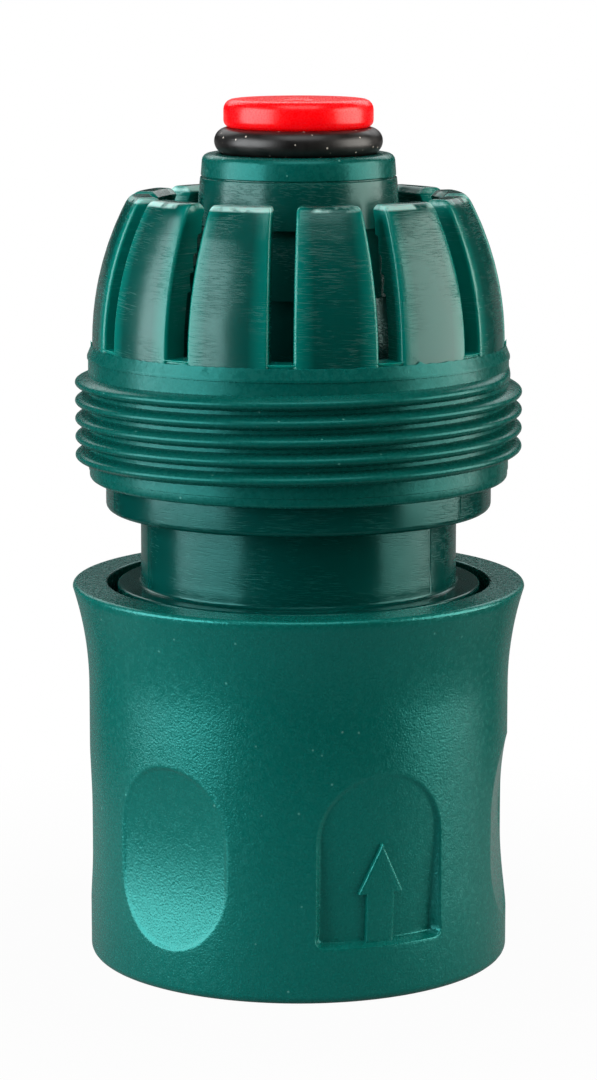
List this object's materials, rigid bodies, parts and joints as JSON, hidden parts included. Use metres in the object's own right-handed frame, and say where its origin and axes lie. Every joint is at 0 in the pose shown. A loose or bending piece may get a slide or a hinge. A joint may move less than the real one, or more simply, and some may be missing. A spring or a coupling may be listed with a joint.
{
  "type": "garden hose quick connector",
  "caption": "Plastic quick connector with barbed hose stem, slotted jaws, nut thread, spring grip sleeve, locking claws and a spring valve that shuts the water off.",
  "frame": {"origin": "on the axis, in the plane of the socket's mouth that the connector stands on", "axes": "+Z along the axis from the socket's mouth to the hose stem, -Y towards the camera of the picture"},
  "size_m": [0.0375, 0.0374, 0.0712],
  "materials": {
    "body_plastic": "moulded, polished on the jaws and neck, with a fine eroded grain on the band, collar and stem tip",
    "sleeve_plastic": "moulded with a fine eroded grain",
    "claw_plastic": "plain moulded",
    "valve_plastic": "glossy moulded",
    "seal_rubber": "smooth, slightly dusty",
    "spring_steel": "drawn wire"
  },
  "bodies": {
    "connector": {"connector_body": "body_plastic", "sleeve_spring": "spring_steel", "valve_spring": "spring_steel"},
    "sleeve": {"grip_sleeve": "sleeve_plastic"},
    "claw_1": {"locking_claw_1": "claw_plastic"},
    "claw_2": {"locking_claw_2": "claw_plastic"},
    "claw_3": {"locking_claw_3": "claw_plastic"},
    "claw_4": {"locking_claw_4": "claw_plastic"},
    "valve": {"valve_plunger": "valve_plastic", "valve_seal": "seal_rubber"}
  },
  "joints": [
    {"name": "sleeve_slide", "type": "slide", "parent": "connector", "child": "sleeve", "axis": [0, 0, 1], "range_m": [0, 0.005], "stiffness_N_per_m": 800, "springref_m": -0.004, "deforming": ["sleeve_spring"]},
    {"name": "claw_1_slide", "type": "slide", "parent": "connector", "child": "claw_1", "axis": [1, 0, 0], "range_m": [0, 0.0012]},
    {"name": "claw_2_slide", "type": "slide", "parent": "connector", "child": "claw_2", "axis": [0, 1, 0], "range_m": [0, 0.0012]},
    {"name": "claw_3_slide", "type": "slide", "parent": "connector", "child": "claw_3", "axis": [-1, 0, 0], "range_m": [0, 0.0012]},
    {"name": "claw_4_slide", "type": "slide", "parent": "connector", "child": "claw_4", "axis": [0, -1, 0], "range_m": [0, 0.0012]},
    {"name": "valve_slide", "type": "slide", "parent": "connector", "child": "valve", "axis": [0, 0, 1], "range_m": [0, 0.0045], "stiffness_N_per_m": 250, "springref_m": -0.006, "deforming": ["valve_spring"]}
  ],
  "couplings": [
    {"joint": "claw_1_slide", "follows": "sleeve_slide", "ratio": 0.24},
    {"joint": "claw_2_slide", "follows": "sleeve_slide", "ratio": 0.24},
    {"joint": "claw_3_slide", "follows": "sleeve_slide", "ratio": 0.24},
    {"joint": "claw_4_slide", "follows": "sleeve_slide", "ratio": 0.24}
  ]
}
